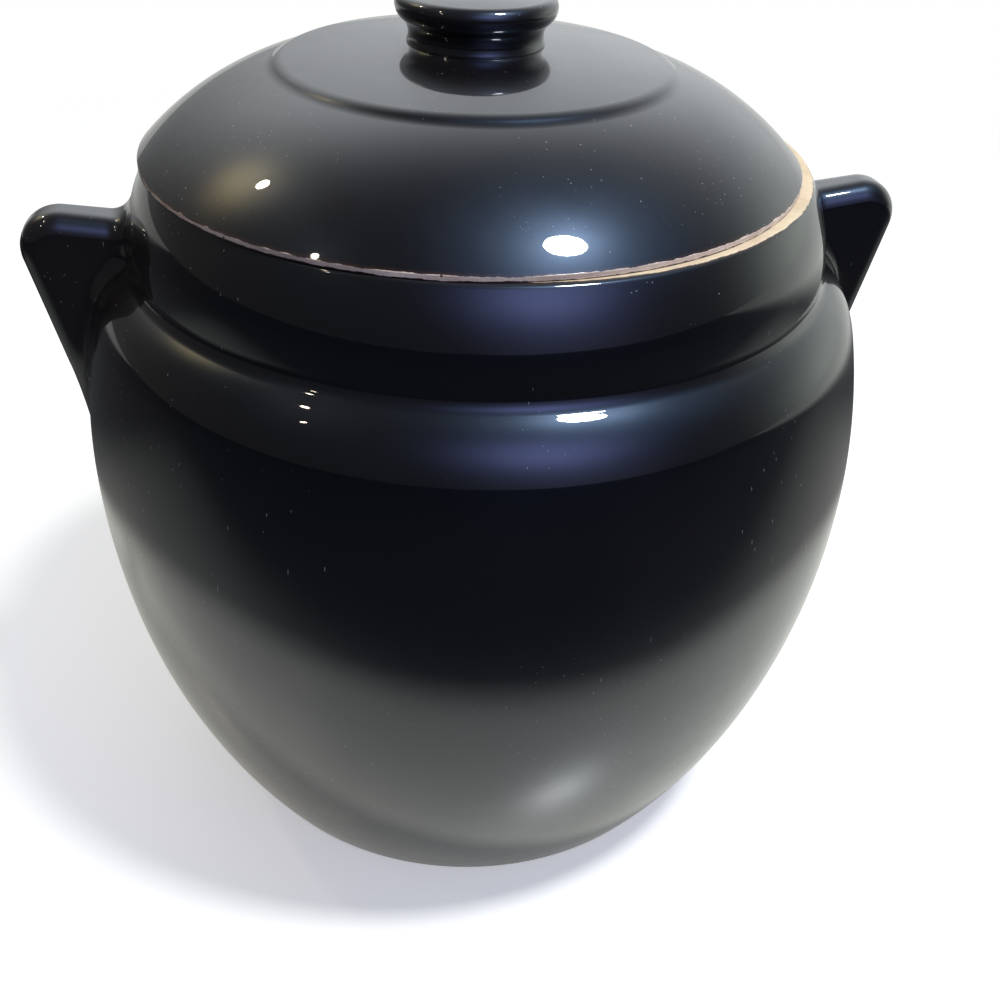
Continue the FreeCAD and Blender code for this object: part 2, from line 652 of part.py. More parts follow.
def check_objects(doc):
    """Stops the build at an object that failed or whose shape is empty or broken."""
    for item in doc.Objects:
        if "Invalid" in item.State or "Error" in item.State:
            raise RuntimeError(f"{item.Name} failed: {item.State}")
        shape = getattr(item, "Shape", None)
        if shape is not None and (shape.isNull() or not shape.isValid()):
            raise RuntimeError(f"{item.Name} has a broken shape")


def export(bodies):
    os.makedirs(PARTS_FOLDER, exist_ok=True)
    for body in bodies:
        body.Shape.exportStep(f"{PARTS_FOLDER}/{body.Label}.step")


def main():
    doc = make_document()
    bodies = [make_crock(doc)]
    bodies += [make_ear(doc, name, turn) for name, turn in EAR_TURNS.items()]
    bodies += [make_lid(doc), make_knob(doc)]
    doc.recompute()
    check_objects(doc)
    export(bodies)


main()
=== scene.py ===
"""Looks of the stoneware bean pot: turned bodies under a deep black glaze, bare clay at rim and lid edge.

The sections and the ears are worked out in millimetres, as the pot is drawn, and made into meshes in metres.
"""

import math
from collections import namedtuple

import bmesh
import bpy
import numpy as np
from mathutils import Matrix, Vector


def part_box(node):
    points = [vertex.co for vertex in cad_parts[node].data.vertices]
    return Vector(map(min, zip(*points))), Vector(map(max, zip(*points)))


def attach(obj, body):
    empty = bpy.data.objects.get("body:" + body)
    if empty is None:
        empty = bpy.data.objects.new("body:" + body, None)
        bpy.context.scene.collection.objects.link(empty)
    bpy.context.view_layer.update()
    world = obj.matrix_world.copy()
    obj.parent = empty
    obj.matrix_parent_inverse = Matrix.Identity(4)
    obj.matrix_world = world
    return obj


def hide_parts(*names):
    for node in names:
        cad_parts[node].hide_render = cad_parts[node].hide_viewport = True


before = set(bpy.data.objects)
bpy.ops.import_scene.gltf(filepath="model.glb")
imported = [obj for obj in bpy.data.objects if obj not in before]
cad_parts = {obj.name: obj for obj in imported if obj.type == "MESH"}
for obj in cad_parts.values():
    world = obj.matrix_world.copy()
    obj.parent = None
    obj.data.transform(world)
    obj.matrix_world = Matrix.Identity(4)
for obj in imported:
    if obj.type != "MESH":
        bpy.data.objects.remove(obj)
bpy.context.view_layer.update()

MM = 0.001

# ---- sizes of the pot, in millimetres, as in the CAD model ----

BELLY_RADIUS = 101.8
BELLY_HEIGHT = 107.0
LOWER_SWEEP = 200.0
UPPER_SWEEP = 150.0
HEEL_HEIGHT = 4.0
FOOT_BEVEL = 3.2
FOOT_RING_WIDTH = 7.0
FOOT_LEAN = 2.0
FOOT_RECESS = 2.5
SHOULDER_RISE = 39.0
SHOULDER_HEIGHT = BELLY_HEIGHT + SHOULDER_RISE
SHOULDER_ROUND = 21.0
CREASE_ROUND = 4.4
NECK_LIFT = 16.6
NECK_HEIGHT = SHOULDER_HEIGHT + NECK_LIFT
NECK_STEP = 15.5
NECK_RADIUS = BELLY_RADIUS - NECK_STEP
NECK_TUCK = 16.0
NECK_SWEEP = 34.5
NECK_RISE = 19.9
RIM_HEIGHT = NECK_HEIGHT + NECK_RISE
RIM_ROUND = 1.6
LIP_ROUND = 1.6
NECK_WALL = 11.8
MOUTH_RADIUS = NECK_RADIUS - NECK_WALL
THROAT_ROUND = 9.0
WALL = 8.0
FLOOR_THICKNESS = 9.0
FLOOR_HEIGHT = FOOT_RECESS + FLOOR_THICKNESS
FLOOR_ROUND = 16.0

EAR_OVERHANG = 9.8
EAR_REACH = BELLY_RADIUS + EAR_OVERHANG
EAR_DROP = 21.3
LEFT_EAR_HEIGHT = RIM_HEIGHT - EAR_DROP
RIGHT_EAR_LIFT = 2.4
RIGHT_EAR_HEIGHT = LEFT_EAR_HEIGHT + RIGHT_EAR_LIFT
EAR_TIP_ROUND = 9.5
EAR_TOP_SLOPE = math.radians(8.0)
EAR_SIDE_SLOPE = math.radians(12.9)
EAR_THICKNESS = 12.5
EAR_DRAFT = math.radians(2.0)
EAR_EDGE_ROUND = 5.0
EAR_ROOT_ROUND = 4.5

LID_REST = 5.2
LID_RADIUS = MOUTH_RADIUS + LID_REST
LID_EDGE = 1.2
DOME_SWEEP = 71.0
DOME_HEIGHT = 23.0
LID_WALL = 7.0
RIDGE_INSET = 34.7
RIDGE_RADIUS = LID_RADIUS - RIDGE_INSET
RIDGE_STEP = 0.9
RIDGE_ROUND = 5.0
RIDGE_FOOT_ROUND = 6.0
LID_PLAY = 2.6
FLANGE_OUTSIDE = MOUTH_RADIUS - LID_PLAY
FLANGE_WALL = 6.0
FLANGE_INSIDE = FLANGE_OUTSIDE - FLANGE_WALL
FLANGE_DEPTH = 9.0
FLANGE_EDGE_ROUND = 2.0
FLANGE_ROOT_ROUND = 4.0

CROWN_RISE = 2.5
KNOB_SEAT_HEIGHT = DOME_HEIGHT + CROWN_RISE
KNOB_FOOT_RADIUS = 16.3
KNOB_SEAT_MARGIN = 0.6
KNOB_SEAT_RADIUS = KNOB_FOOT_RADIUS + KNOB_SEAT_MARGIN
KNOB_BEAD_ROUND = 1.4
KNOB_WAIST_ROUND = 4.0
KNOB_CAP_RADIUS = 19.0
KNOB_CAP_HEIGHT = 8.4
KNOB_UNDER_ROUND = 4.0
KNOB_EDGE_ROUND = 2.4
KNOB_RISE = 3.6

# how finely surfaces are cut up: lengths along a section, turns, the short steps that keep a corner crisp,
# and how near to each other points are joined
FINE_STEP = 0.6
PLAIN_STEP = 1.6
ARC_STEP = math.radians(5.0)
TURN_STEP = math.radians(1.25)
SUPPORT = 0.12
WELD_REACH = SUPPORT / 8

# how finely an ear is cut up, in numbers of steps: the hollow of its root, its flank, and its edge's round
ROOT_STEPS = 10
FLANK_STEPS = 16
EDGE_STEPS = 11
TIP_STEP = ARC_STEP / 1.6
# the lines on which an ear's points are looked for: how long, how far they start behind the root, how fine
EAR_LINE = 46.0
EAR_LINE_POINTS = 600
FLANK_LINE_START = -0.6
FLANK_LINE_POINTS = 240
LEAST_REACH = 0.001

# how an ear's ends settle on the crock: how far below its skin they end, and how far out from the ear, as a
# share of the root's round; how many rounds of steps, and the share of each that is taken; the least squared
# sine between the two surfaces, for that spread and for a step; and the nudge that finds a slope
SUNK = 0.12
SUNK_SPREAD = 1.25
SETTLE_ROUNDS = 10
SETTLE_SHARE = 0.8
LEAST_CROSSING = 0.1
LEAST_SPARE = 0.16
NUDGE = 0.01

# a wave that a hand leaves on the wheel: how high, how many lobes round the pot, how many millimetres up
# bring it on by a radian, and its start in radians
Wave = namedtuple("Wave", "size lobes rise start")
WAVES = (
    Wave(size=0.14, lobes=2, rise=math.inf, start=0.4),
    Wave(size=0.09, lobes=3, rise=38, start=2.1),
    Wave(size=0.05, lobes=1, rise=11, start=0),
    Wave(size=0.03, lobes=5, rise=-23, start=0),
)

# the bare band round the rim: where it is widest, how far to each side of that it narrows, and how far past
# the rim's flat it reaches at its widest and at its narrowest; less than 0 is on the flat
BAND_TURN = 0.0
BAND_REACH = math.radians(97)
BAND_MOST = 1.5
BAND_LEAST = -0.9
# the bare band round the lid: how far above the upper edge it starts, how much that differs round the lid,
# where it starts highest, and half the width of the dark glaze line along its lower corner, a painted shadow
# of the gap under the lid's edge
LID_BAND = -0.1
LID_BAND_CHANGE = 0.25
LID_BAND_TURN = math.radians(-60)
LID_SHADOW_LINE = 0.28

# the mesh attribute that says how far a point is inside bare clay, and its value well inside glaze
BARE = "bare"
ALL_GLAZED = -9.0

# base colours: the glaze where it is deep, in brown patches, at its thin edge, and where it is worn; the thin
# edge's brown also colours the painted shadow line at the lid's lower corner
DEEP_GLAZE = (0.0030, 0.0026, 0.0034, 1)
BROWN_GLAZE = (0.0085, 0.0055, 0.0042, 1)
THIN_GLAZE = (0.030, 0.012, 0.006, 1)
WORN_GLAZE = (0.26, 0.26, 0.28, 1)
# and the clay, pale and dark, of the crock and of the lid, and its grit
CROCK_CLAY = ((0.84, 0.68, 0.45, 1), (0.66, 0.50, 0.33, 1))
LID_CLAY = ((0.86, 0.71, 0.58, 1), (0.60, 0.45, 0.35, 1))
GRIT = (0.16, 0.09, 0.06, 1)
# how far the glaze's ragged edge strays, in millimetres, and the share of its coat that it lacks where worn
RAGGEDNESS = 1.1
WORN_LOSS = 0.6
# the gloss: a tinted haze under a hard clear coat
HAZE_TINT = (0.45, 0.65, 1.0, 1)
HAZE_SPECULAR = 0.32
GLAZE_IOR = 1.5
COAT_IOR = 1.6
COAT_ROUGHNESS = 0.025
CLAY_ROUGHNESS = 0.9

# the floor, in metres: its size, its two pale tones, how much it glows by itself, and its roughness
FLOOR_RADIUS = 6.0
FLOOR_CORNERS = 96
PALE_FLOOR = ((0.82, 0.80, 0.75, 1), (0.85, 0.83, 0.78, 1))
FLOOR_GLOW = 0.42
FLOOR_ROUGHNESS = 0.9
# what the glaze mirrors of it: its tone and roughness near the pot, and its tone further away
MIRRORED_FLOOR = (0.54, 0.53, 0.46, 1)
MIRRORED_ROUGHNESS = 0.24
DIM_FLOOR = (0.05, 0.05, 0.05, 1)
# where the part near the pot ends, to the front and back, and how many times wider it is
TABLE_REACH = (0.152, 0.20)
TABLE_WIDTH = 1.25
# how dark the floor beyond it is to the sides, at the least, where that grows to the whole of it, to the
# front and back, and how many times wider that place is
SIDES_DIMNESS = 0.70
SIDES_REACH = (0.08, 0.21)
SIDES_WIDTH = 3.6
# the direction in which the floor stays pale behind the pot, and where the dark part ends there
BEHIND = (0.45, 1.0, 0)
BEHIND_REACH = (0.32, 0.60)
# where the camera starts to see the floor as white, and where it is all white
HORIZON = (0.30, 0.80)

WHITE = (1, 1, 1, 1)
COOL_LAMP = (0.95, 0.98, 1.0)
WARM_LAMP = (1.0, 0.86, 0.66)
PALE_WARM_LAMP = (1.0, 0.88, 0.70)
LAMPS_AIM = (0, 0, 0.16)

# a soft glow of the dim room that the glaze mirrors: where it is, and how narrow and how strong
Glow = namedtuple("Glow", "heading height narrowness strength colour")
ROOM_GLOWS = (
    Glow(heading=155, height=24, narrowness=5.0, strength=1.05, colour=(0.93, 0.97, 1.0)),
    Glow(heading=-162, height=42, narrowness=13.0, strength=0.85, colour=(0.97, 1.0, 1.0)),
    Glow(heading=58, height=62, narrowness=16.0, strength=0.8, colour=(0.32, 0.58, 1.0)),
    Glow(heading=14, height=36, narrowness=20.0, strength=2.4, colour=(0.38, 0.46, 1.0)),
    Glow(heading=16, height=8, narrowness=14.0, strength=0.35, colour=(0.48, 0.52, 1.0)),
    Glow(heading=106, height=4, narrowness=14.0, strength=0.8, colour=(0.90, 1.0, 0.88)),
    Glow(heading=-129, height=40, narrowness=110.0, strength=1.7, colour=(1.0, 0.80, 0.38)),
)
ROOM_DIMNESS = 0.08

# the camera: its place in metres, its turn, its tilt below level and its roll, and its lens and film in mm
CAMERA_PLACE = (-0.0508, -0.2879, 0.2776)
CAMERA_HEADING = math.radians(-11.65)
CAMERA_PITCH = math.radians(34.25)
CAMERA_ROLL = math.radians(2.65)
CAMERA_LENS = 43.2
CAMERA_FILM = 36.0


# ---- plane geometry ----


def flat(x, y):
    return Vector((x, y))


def toward(start, goal, distance):
    """The point at that distance from start, on the line to goal."""
    return start + (goal - start).normalized() * distance


def on_circle(centre, radius, height):
    """The circle's right-hand point at that height."""
    return flat(centre.x + math.sqrt(radius**2 - (height - centre.y) ** 2), height)


def over_circle(centre, radius, distance):
    """The circle's upper point at that distance from the upright axis."""
    return flat(distance, centre.y + math.sqrt(radius**2 - (distance - centre.x) ** 2))


def meeting(low, low_radius, high, high_radius):
    """Where two circles meet, on the right of the line from low to high."""
    span = high - low
    along = (span.length_squared + low_radius**2 - high_radius**2) / (2 * span.length)
    aside = math.sqrt(low_radius**2 - along**2)
    unit = span.normalized()
    return low + unit * along + flat(unit.y, -unit.x) * aside


def centre_on_axis(first, second):
    """The point of the upright axis that is as far from one point as from the other."""
    middle = (first.y + second.y) / 2
    return flat(0, middle + (first.x**2 - second.x**2) / (2 * (first.y - second.y)))


class Section:
    """A half section made of lines and arcs, cut into short steps."""

    def __init__(self, start):
        self.points = [start]

    def line_to(self, end, step=PLAIN_STEP):
        start = self.points[-1]
        length = (end - start).length
        for share in shares(length, max(1, math.ceil(length / step))):
            self.points.append(start.lerp(end, share))

    def arc_to(self, end, centre, step=PLAIN_STEP):
        """An arc of less than half a turn round centre."""
        start = self.points[-1] - centre
        turn = math.atan2(start.cross(end - centre), start.dot(end - centre))
        length = abs(turn) * start.length
        count = max(math.ceil(length / step), math.ceil(abs(turn) / ARC_STEP))
        for share in shares(length, count):
            self.points.append(centre + Matrix.Rotation(turn * share, 2) @ start)


def shares(length, count):
    """Even steps up to 1, with a short one at each end that keeps the corner there crisp."""
    support = SUPPORT / length
    steps = [number / count for number in range(1, count)]
    inner = [share for share in steps if support * 2 < share < 1 - support * 2]
    return [support, *inner, 1 - support, 1.0] if length > 4 * SUPPORT else [1.0]


# ---- sections of the four turned pieces ----


def crock_side():
    """The crock's outside, from the standing ring up to the flat of the rim, and its shoulder's centre."""
    lower = flat(BELLY_RADIUS - LOWER_SWEEP, BELLY_HEIGHT)
    upper = flat(BELLY_RADIUS - UPPER_SWEEP, BELLY_HEIGHT)
    heel = on_circle(lower, LOWER_SWEEP, HEEL_HEIGHT)
    shoulder_start = on_circle(upper, UPPER_SWEEP, SHOULDER_HEIGHT)
    shoulder = toward(shoulder_start, upper, SHOULDER_ROUND)
    tuck = flat(NECK_RADIUS - NECK_TUCK, NECK_HEIGHT)
    neck = flat(NECK_RADIUS - NECK_SWEEP, NECK_HEIGHT)
    crease = meeting(shoulder, SHOULDER_ROUND + CREASE_ROUND, tuck, NECK_TUCK + CREASE_ROUND)
    edge = on_circle(neck, NECK_SWEEP - RIM_ROUND, RIM_HEIGHT - RIM_ROUND)

    section = Section(flat(heel.x - FOOT_BEVEL, 0))
    section.line_to(heel)
    section.arc_to(flat(BELLY_RADIUS, BELLY_HEIGHT), lower)
    section.arc_to(shoulder_start, upper, step=FINE_STEP)
    section.arc_to(toward(shoulder, crease, SHOULDER_ROUND), shoulder, step=FINE_STEP)
    section.arc_to(toward(tuck, crease, NECK_TUCK), crease, step=FINE_STEP / 2)
    section.arc_to(flat(NECK_RADIUS, NECK_HEIGHT), tuck, step=FINE_STEP)
    section.arc_to(toward(neck, edge, NECK_SWEEP), neck, step=FINE_STEP)
    section.arc_to(flat(edge.x, RIM_HEIGHT), edge, step=FINE_STEP / 2)
    return section, shoulder


def crock_section():
    """The crock's section from the heel over the rim to the floor's middle, and that of its underside."""
    section, shoulder = crock_side()
    foot = section.points[0]
    throat = over_circle(shoulder, SHOULDER_ROUND - WALL + THROAT_ROUND, MOUTH_RADIUS + THROAT_ROUND)
    lower = flat(BELLY_RADIUS - LOWER_SWEEP, BELLY_HEIGHT)
    upper = flat(BELLY_RADIUS - UPPER_SWEEP, BELLY_HEIGHT)
    bowl = on_circle(lower, LOWER_SWEEP - WALL - FLOOR_ROUND, FLOOR_HEIGHT + FLOOR_ROUND)
    lip = flat(MOUTH_RADIUS + LIP_ROUND, RIM_HEIGHT - LIP_ROUND)
    ring_inside = foot.x - FOOT_RING_WIDTH

    section.line_to(flat(lip.x, RIM_HEIGHT))
    section.arc_to(flat(MOUTH_RADIUS, lip.y), lip)
    section.line_to(flat(MOUTH_RADIUS, throat.y))
    section.arc_to(toward(throat, shoulder, THROAT_ROUND), throat)
    section.arc_to(toward(upper, shoulder, UPPER_SWEEP - WALL), shoulder)
    section.arc_to(flat(BELLY_RADIUS - WALL, BELLY_HEIGHT), upper)
    section.arc_to(toward(lower, bowl, LOWER_SWEEP - WALL), lower)
    section.arc_to(flat(bowl.x, FLOOR_HEIGHT), bowl)
    section.line_to(flat(0, FLOOR_HEIGHT), step=PLAIN_STEP * 2)
    below = Section(flat(0, FOOT_RECESS))
    below.line_to(flat(ring_inside - FOOT_LEAN, FOOT_RECESS), step=PLAIN_STEP * 2)
    below.line_to(flat(ring_inside, 0))
    below.line_to(foot)
    return section, below


def lid_section():
    """The lid's outside from its axis out, and then its underside back in, above the rim's plane."""
    dome_y = DOME_HEIGHT - DOME_SWEEP
    dome = flat(LID_RADIUS - math.sqrt(DOME_SWEEP**2 - (LID_EDGE - dome_y) ** 2), dome_y)
    crown_end = over_circle(dome, DOME_SWEEP, RIDGE_RADIUS) + flat(0, RIDGE_STEP)
    seat_edge = flat(KNOB_SEAT_RADIUS, KNOB_SEAT_HEIGHT)
    crown = centre_on_axis(seat_edge, crown_end)
    ridge = toward(crown_end, crown, RIDGE_ROUND)
    reach = RIDGE_ROUND + RIDGE_FOOT_ROUND
    hollow = meeting(dome, DOME_SWEEP + RIDGE_FOOT_ROUND, ridge, reach)
    inner_sweep = DOME_SWEEP - LID_WALL
    root_x = FLANGE_INSIDE - FLANGE_ROOT_ROUND
    root = over_circle(dome, inner_sweep - FLANGE_ROOT_ROUND, root_x)
    low = FLANGE_EDGE_ROUND - FLANGE_DEPTH
    inner_edge = flat(FLANGE_INSIDE + FLANGE_EDGE_ROUND, low)
    outer_edge = flat(FLANGE_OUTSIDE - FLANGE_EDGE_ROUND, low)

    section = Section(flat(0, KNOB_SEAT_HEIGHT))
    section.line_to(seat_edge)
    section.arc_to(crown_end, crown, step=FINE_STEP)
    section.arc_to(toward(ridge, hollow, RIDGE_ROUND), ridge, step=FINE_STEP / 2)
    section.arc_to(toward(dome, hollow, DOME_SWEEP), hollow, step=FINE_STEP / 2)
    section.arc_to(flat(LID_RADIUS, LID_EDGE), dome, step=FINE_STEP)
    section.line_to(flat(LID_RADIUS, 0), step=FINE_STEP / 2)
    section.line_to(flat(FLANGE_OUTSIDE, 0))
    section.line_to(flat(FLANGE_OUTSIDE, low))
    section.arc_to(flat(outer_edge.x, -FLANGE_DEPTH), outer_edge)
    section.line_to(flat(inner_edge.x, -FLANGE_DEPTH))
    section.arc_to(flat(FLANGE_INSIDE, low), inner_edge)
    section.line_to(flat(FLANGE_INSIDE, root.y))
    section.arc_to(toward(dome, root, inner_sweep), root)
    section.arc_to(flat(dome.x, dome.y + inner_sweep), dome)
    section.line_to(flat(0, dome.y + inner_sweep))
    return section


def knob_section():
    """The knob from the middle of its top down to its seat: a low cap, a waist and a bead."""
    bead = flat(KNOB_FOOT_RADIUS - KNOB_BEAD_ROUND, 0)
    under = flat(KNOB_CAP_RADIUS - KNOB_UNDER_ROUND, KNOB_CAP_HEIGHT)
    reach = KNOB_BEAD_ROUND + KNOB_WAIST_ROUND
    waist = meeting(bead, reach, under, KNOB_UNDER_ROUND + KNOB_WAIST_ROUND)
    rim = flat(KNOB_CAP_RADIUS - KNOB_EDGE_ROUND, KNOB_CAP_HEIGHT)
    sweep = (rim.x**2 + KNOB_RISE**2 - KNOB_EDGE_ROUND**2) / (2 * (KNOB_RISE - KNOB_EDGE_ROUND))
    top = flat(0, KNOB_CAP_HEIGHT + KNOB_RISE)
    crown = top - flat(0, sweep)

    section = Section(top)
    section.arc_to(toward(crown, rim, sweep), crown, step=FINE_STEP)
    section.arc_to(flat(KNOB_CAP_RADIUS, KNOB_CAP_HEIGHT), rim, step=FINE_STEP / 2)
    section.arc_to(toward(under, waist, KNOB_UNDER_ROUND), under, step=FINE_STEP / 2)
    section.arc_to(toward(bead, waist, KNOB_BEAD_ROUND), waist, step=FINE_STEP / 2)
    section.arc_to(flat(KNOB_FOOT_RADIUS, 0), bead, step=FINE_STEP / 2)
    section.line_to(flat(0, 0))
    return section


# ---- where the glaze stops ----


def lengths_along(points):
    """How far along its section each point is."""
    steps = [(after - before).length for before, after in zip(points, points[1:])]
    return np.concatenate([[0], np.cumsum(steps)])


def length_at(points, place):
    """How far along a section its point nearest to a place is."""
    nearest = min(range(len(points)), key=lambda number: (points[number] - place).length)
    return lengths_along(points)[nearest]


def bare_between(points, start, end, more=0.0):
    """How far inside the bare stretch from start to end each point of a section lies.

    The stretch starts earlier by more, which may differ from one angle to the next.
    """
    along = lengths_along(points)[:, None]
    return np.minimum(along - length_at(points, start) + more, length_at(points, end) - along)


# ---- meshes ----


def even_turns():
    """Angles for a turned piece, once round."""
    return np.arange(0, math.tau - TURN_STEP / 2, TURN_STEP)


def turned(points, turns):
    """A grid of points, one row for each point of a section and one column for each angle."""
    radius = np.array([point.x for point in points])[:, None]
    height = np.array([point.y for point in points])[:, None]
    x = radius * np.cos(turns)[None, :]
    y = radius * np.sin(turns)[None, :]
    return np.stack([x, y, height + np.zeros_like(x)], axis=2)


def grid_faces(rows, columns, around):
    """Four-sided faces of a grid of points, closed round its columns where around is true."""
    row = np.arange(rows - 1)[:, None]
    column = np.arange(columns if around else columns - 1)[None, :]
    after = (column + 1) % columns
    corners = (row * columns + column, row * columns + after)
    upper = ((row + 1) * columns + after, (row + 1) * columns + column)
    return np.stack([*corners, *upper], axis=2).reshape(-1, 4)


def wobble(points):
    """Moves points outward from the axis by the waves of the wheel."""
    turn = np.arctan2(points[..., 1], points[..., 0])
    height = points[..., 2]
    waves = sum(wave.size * np.sin(wave.lobes * turn + height / wave.rise + wave.start) for wave in WAVES)
    radius = np.hypot(points[..., 0], points[..., 1])
    share = waves * np.clip(radius / BELLY_RADIUS, 0, 1)
    out = points.copy()
    out[..., 0] += share * np.cos(turn)
    out[..., 1] += share * np.sin(turn)
    return out


def make_mesh(name, grids, material):
    """An object of several grids: (points, how far each lies inside bare clay, whether closed round)."""
    vertices, faces, bare = [], [], []
    count = 0
    for points, inside_bare, around in grids:
        rows, columns = points.shape[:2]
        faces.append(grid_faces(rows, columns, around) + count)
        bare.append(np.broadcast_to(inside_bare, (rows, columns)).ravel())
        vertices.append(points.reshape(-1, 3) * MM)
        count += rows * columns
    mesh = bpy.data.meshes.new(name)
    mesh.from_pydata(np.concatenate(vertices).tolist(), [], np.concatenate(faces).tolist())
    mesh.materials.append(material)
    mesh.attributes.new(BARE, "FLOAT", "POINT").data.foreach_set("value", np.concatenate(bare))
    weld(mesh)
    mesh.polygons.foreach_set("use_smooth", [True] * len(mesh.polygons))
    piece = bpy.data.objects.new(name, mesh)
    bpy.context.scene.collection.objects.link(piece)
    return piece


def weld(mesh):
    """Joins the points that lie together at the axis and where two grids meet."""
    work = bmesh.new()
    work.from_mesh(mesh)
    bmesh.ops.remove_doubles(work, verts=work.verts, dist=WELD_REACH * MM)
    bmesh.ops.recalc_face_normals(work, faces=work.faces)
    work.to_mesh(mesh)
    work.free()


# ---- ears ----


def ear_outline_distance(x, z, tip_height):
    """How far a point of the ear's middle plane is outside its outline, less than 0 inside."""
    tip_x, tip_z = x - (EAR_REACH - EAR_TIP_ROUND), z - tip_height
    over_top = -tip_x * math.sin(EAR_TOP_SLOPE) + tip_z * math.cos(EAR_TOP_SLOPE) - EAR_TIP_ROUND
    past_side = tip_x * math.cos(EAR_SIDE_SLOPE) - tip_z * math.sin(EAR_SIDE_SLOPE) - EAR_TIP_ROUND
    beyond_top = tip_x * math.cos(EAR_TOP_SLOPE) + tip_z * math.sin(EAR_TOP_SLOPE) > 0
    above_side = tip_x * math.sin(EAR_SIDE_SLOPE) + tip_z * math.cos(EAR_SIDE_SLOPE) > 0
    round_tip = np.hypot(tip_x, tip_z) - EAR_TIP_ROUND
    return np.where(beyond_top & above_side, round_tip, np.maximum(over_top, past_side))


def ear_distance(points, tip_height):
    """How far points are outside an ear that stands along +X."""
    x, y, z = points[..., 0], np.abs(points[..., 1]), points[..., 2]
    outline = ear_outline_distance(x, z, tip_height) + EAR_EDGE_ROUND
    side = (y - half_thickness(x)) * math.cos(EAR_DRAFT) + EAR_EDGE_ROUND
    inside = np.minimum(np.maximum(outline, side), 0)
    return inside + np.hypot(np.maximum(outline, 0), np.maximum(side, 0)) - EAR_EDGE_ROUND


def side_distance(points, side):
    """How far points are outside the crock, whose outside is the section's points."""
    flat_points = points.reshape(-1, 3)
    place = np.stack([np.hypot(flat_points[:, 0], flat_points[:, 1]), flat_points[:, 2]], axis=1)
    starts, ends = side[:-1], side[1:]
    spans = ends - starts
    lengths = np.hypot(spans[:, 0], spans[:, 1])
    offset = place[:, None, :] - starts[None, :, :]
    along = np.clip((offset * spans).sum(axis=2) / lengths**2, 0, 1)
    gap = offset - along[..., None] * spans[None, :, :]
    reach = np.hypot(gap[..., 0], gap[..., 1])
    nearest = reach.argmin(axis=1)
    rows = np.arange(len(place))
    span = spans[nearest]
    away = gap[rows, nearest]
    outward = span[:, 1] * away[:, 0] - span[:, 0] * away[:, 1]
    return (np.sign(outward) * reach[rows, nearest]).reshape(points.shape[:-1])


def slope_of(distance, points):
    """The unit direction in which a distance grows fastest."""
    steps = np.eye(3) * NUDGE
    slope = np.stack([distance(points + step) - distance(points - step) for step in steps], axis=-1)
    return slope / np.linalg.norm(slope, axis=-1, keepdims=True)


def settle(points, side, tip_height):
    """Moves the points of an ear that are near the crock onto the round hollow of its root.

    The outermost row and column all round end up just below the crock's skin, and the next ones on it.
    """

    def crock_away(place):
        return side_distance(place, side)

    def ear_away(place):
        return ear_distance(place, tip_height)

    away = np.maximum(crock_away(points), 0)
    away[[1, -2]] = 0
    away[:, [1, -2]] = 0
    away[[0, -1]] = -SUNK
    away[:, [0, -1]] = -SUNK
    near = away < EAR_ROOT_ROUND
    moved, to_crock = points[near], away[near]
    share = np.clip(1 - to_crock / EAR_ROOT_ROUND, 0, 1)
    spread = np.where(to_crock < 0, SUNK_SPREAD, 1 - np.sqrt(1 - share**2))
    alike = (slope_of(crock_away, moved) * slope_of(ear_away, moved)).sum(axis=-1)
    to_ear = EAR_ROOT_ROUND * spread * np.sqrt(np.maximum(1 - alike**2, LEAST_CROSSING))
    for _ in range(SETTLE_ROUNDS):
        from_crock = slope_of(crock_away, moved)
        from_ear = slope_of(ear_away, moved)
        alike = (from_crock * from_ear).sum(axis=-1)
        part = SETTLE_SHARE / np.maximum(1 - alike**2, LEAST_SPARE)
        crock_step = to_crock - crock_away(moved)
        ear_step = to_ear - ear_away(moved)
        moved = moved + from_crock * (part * (crock_step - alike * ear_step))[:, None]
        moved = moved + from_ear * (part * (ear_step - alike * crock_step))[:, None]
    settled = points.copy()
    settled[near] = moved
    return settled


def root_distances(count):
    """Distances from the crock at which the hollow of the root is cut evenly, from just below its skin."""
    turns = np.linspace(math.pi / 2, 0, ROOT_STEPS)
    hollow = EAR_ROOT_ROUND * (1 - np.sin(turns))
    return np.concatenate([[-SUNK], hollow, EAR_ROOT_ROUND + np.arange(1, count) * FINE_STEP])


def at_distances(line, side, wanted):
    """The points of a line, from crock to tip, that are the wanted distances from the crock."""
    away = side_distance(line, side)
    first = away.argmin()
    away, line = np.maximum.accumulate(away[first:]), line[first:]
    return np.stack([np.interp(wanted, away, line[:, axis]) for axis in range(3)], axis=1)


def ear_stations(side, tip_height):
    """Places along the ear's outline, inset by its edge's rounding, with the direction outward."""
    top = flat(-math.sin(EAR_TOP_SLOPE), math.cos(EAR_TOP_SLOPE))
    outer = flat(math.cos(EAR_SIDE_SLOPE), -math.sin(EAR_SIDE_SLOPE))
    tip = flat(EAR_REACH - EAR_TIP_ROUND, tip_height)
    inset = EAR_TIP_ROUND - EAR_EDGE_ROUND
    lines = []
    for outward, along in ((top, flat(-top.y, top.x)), (outer, flat(outer.y, -outer.x))):
        start = tip + outward * EAR_TIP_ROUND
        reach = np.linspace(EAR_LINE, 0, EAR_LINE_POINTS)[:, None]
        ends = np.array([start.x, 0, start.y]) + reach * np.array([along.x, 0, along.y])
        last = side_distance(ends[-1:], side)[0]
        count = math.ceil((last - EAR_ROOT_ROUND) / FINE_STEP)
        wanted = root_distances(count)
        edge = at_distances(ends, side, wanted[wanted < last])
        lines.append([(flat(x, z) - outward * EAR_EDGE_ROUND, outward) for x, _, z in edge])
    turn = top.angle(outer)
    count = math.ceil(turn / TIP_STEP)
    bend = [Matrix.Rotation(-turn * number / count, 2) @ top for number in range(count + 1)]
    return lines[0] + [(tip + outward * inset, outward) for outward in bend] + lines[1][::-1]


